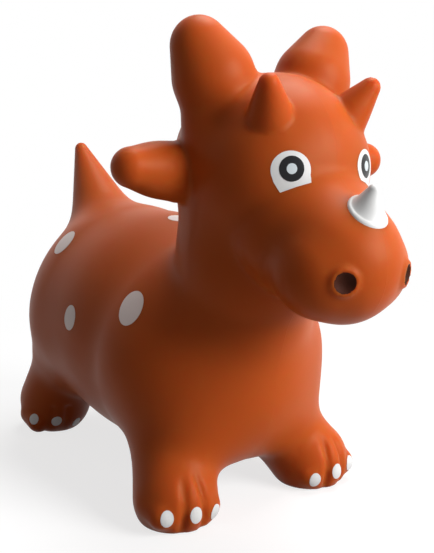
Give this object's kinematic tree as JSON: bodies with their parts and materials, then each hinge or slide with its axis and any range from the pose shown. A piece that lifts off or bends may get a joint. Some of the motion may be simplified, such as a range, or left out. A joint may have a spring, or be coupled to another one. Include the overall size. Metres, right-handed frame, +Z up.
{
  "type": "bouncy ride-on animal",
  "caption": "Air-filled hopper toy shaped as a standing horned dinosaur: a round body to sit on, side ears to hold, feet, a tail, painted eyes and an air valve in the belly.",
  "frame": {"origin": "centre of the bounding box at ground level, between the four soles", "axes": "+X to the animal's left, -Y forward towards its nose, +Z up; the mirror plane is X = 0"},
  "size_m": [0.3296, 0.5887, 0.5],
  "materials": {
    "orange_skin": "soft satin vinyl",
    "nose_horn_paint": "soft vinyl with white satin paint",
    "white_paint": "satin paint",
    "eye_paint": "gloss paint",
    "nostril_paint": "satin paint",
    "valve_rubber": "moulded soft plastic"
  },
  "bodies": {
    "animal": {"trunk": "orange_skin", "head": "orange_skin", "tail": "orange_skin", "nose_horn": "nose_horn_paint", "frill_lobe_left": "orange_skin", "frill_lobe_right": "orange_skin", "brow_horn_left": "orange_skin", "brow_horn_right": "orange_skin", "ear_left": "orange_skin", "ear_right": "orange_skin", "front_leg_left": "orange_skin", "front_leg_right": "orange_skin", "rear_leg_left": "orange_skin", "rear_leg_right": "orange_skin", "valve_seat": "valve_rubber", "eye_white_left": "white_paint", "eye_white_right": "white_paint", "eye_highlight_left": "white_paint", "eye_highlight_right": "white_paint", "nail_front_outer_left": "white_paint", "nail_front_outer_right": "white_paint", "nail_front_middle_left": "white_paint", "nail_front_middle_right": "white_paint", "nail_front_inner_left": "white_paint", "nail_front_inner_right": "white_paint", "nail_rear_outer_left": "white_paint", "nail_rear_outer_right": "white_paint", "nail_rear_middle_left": "white_paint", "nail_rear_middle_right": "white_paint", "nail_rear_inner_left": "white_paint", "nail_rear_inner_right": "white_paint", "spot_shoulder_left": "white_paint", "spot_shoulder_right": "white_paint", "spot_flank_left": "white_paint", "spot_flank_right": "white_paint", "spot_rump_left": "white_paint", "spot_rump_right": "white_paint", "spot_back": "white_paint", "eye_iris_left": "eye_paint", "eye_iris_right": "eye_paint", "nostril_paint_left": "nostril_paint", "nostril_paint_right": "nostril_paint"},
    "stopper": {"stopper": "valve_rubber"}
  },
  "joints": [
    {"name": "stopper_pull", "type": "slide", "parent": "animal", "child": "stopper", "axis": [0, 0, -1], "range_m": [0, 0.025]}
  ]
}
